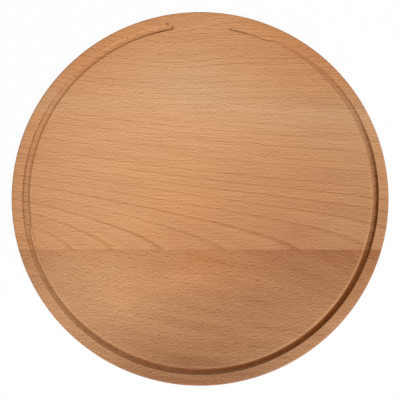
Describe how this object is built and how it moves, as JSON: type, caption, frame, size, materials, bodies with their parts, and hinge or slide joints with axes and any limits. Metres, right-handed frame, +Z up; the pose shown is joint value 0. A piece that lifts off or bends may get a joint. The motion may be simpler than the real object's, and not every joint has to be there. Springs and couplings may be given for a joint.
{
  "type": "pizza board",
  "caption": "Round wooden pizza serving board of edge-glued staves, with a shallow juice groove near the rim that stops short at the back.",
  "frame": {"origin": "centre of the underside", "axes": "+Z up through the serving face, +X along the grain to the right, +Y to the back, where the juice groove is left open"},
  "size_m": [0.34, 0.34, 0.015],
  "materials": {
    "back_wood": "oiled, satin",
    "middle_wood": "oiled, satin",
    "front_wood": "oiled, satin",
    "glue": "cured wood glue, satin"
  },
  "bodies": {
    "root": {"back_stave": "back_wood", "back_glue_line": "glue", "middle_stave": "middle_wood", "front_glue_line": "glue", "front_stave": "front_wood"}
  },
  "joints": []
}
